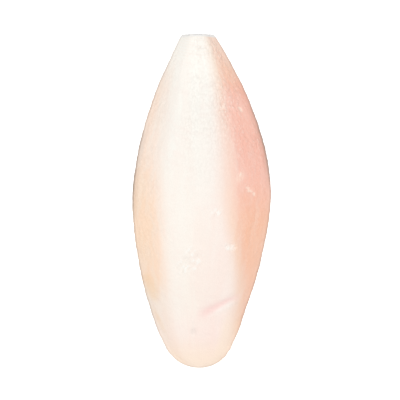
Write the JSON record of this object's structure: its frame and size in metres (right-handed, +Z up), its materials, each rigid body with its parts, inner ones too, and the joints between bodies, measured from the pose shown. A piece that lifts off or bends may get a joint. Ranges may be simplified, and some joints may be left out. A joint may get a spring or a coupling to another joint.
{
  "type": "cuttlebone",
  "caption": "Long oval cuttlebone with a blunt trimmed hind end, a domed back with a broad middle rib, a thin margin and a chalky belly that it rests on.",
  "frame": {"origin": "middle of the bounding box, on the surface that the bone lies on", "axes": "+Y along the bone to the trimmed hind end, +X to the right seen from above, +Z up through the domed back"},
  "size_m": [0.0618, 0.1499, 0.022],
  "materials": {
    "bone": "chalky matt, with a faint waxy sheen on the back"
  },
  "bodies": {
    "root": {"cuttlebone": "bone"}
  },
  "joints": []
}
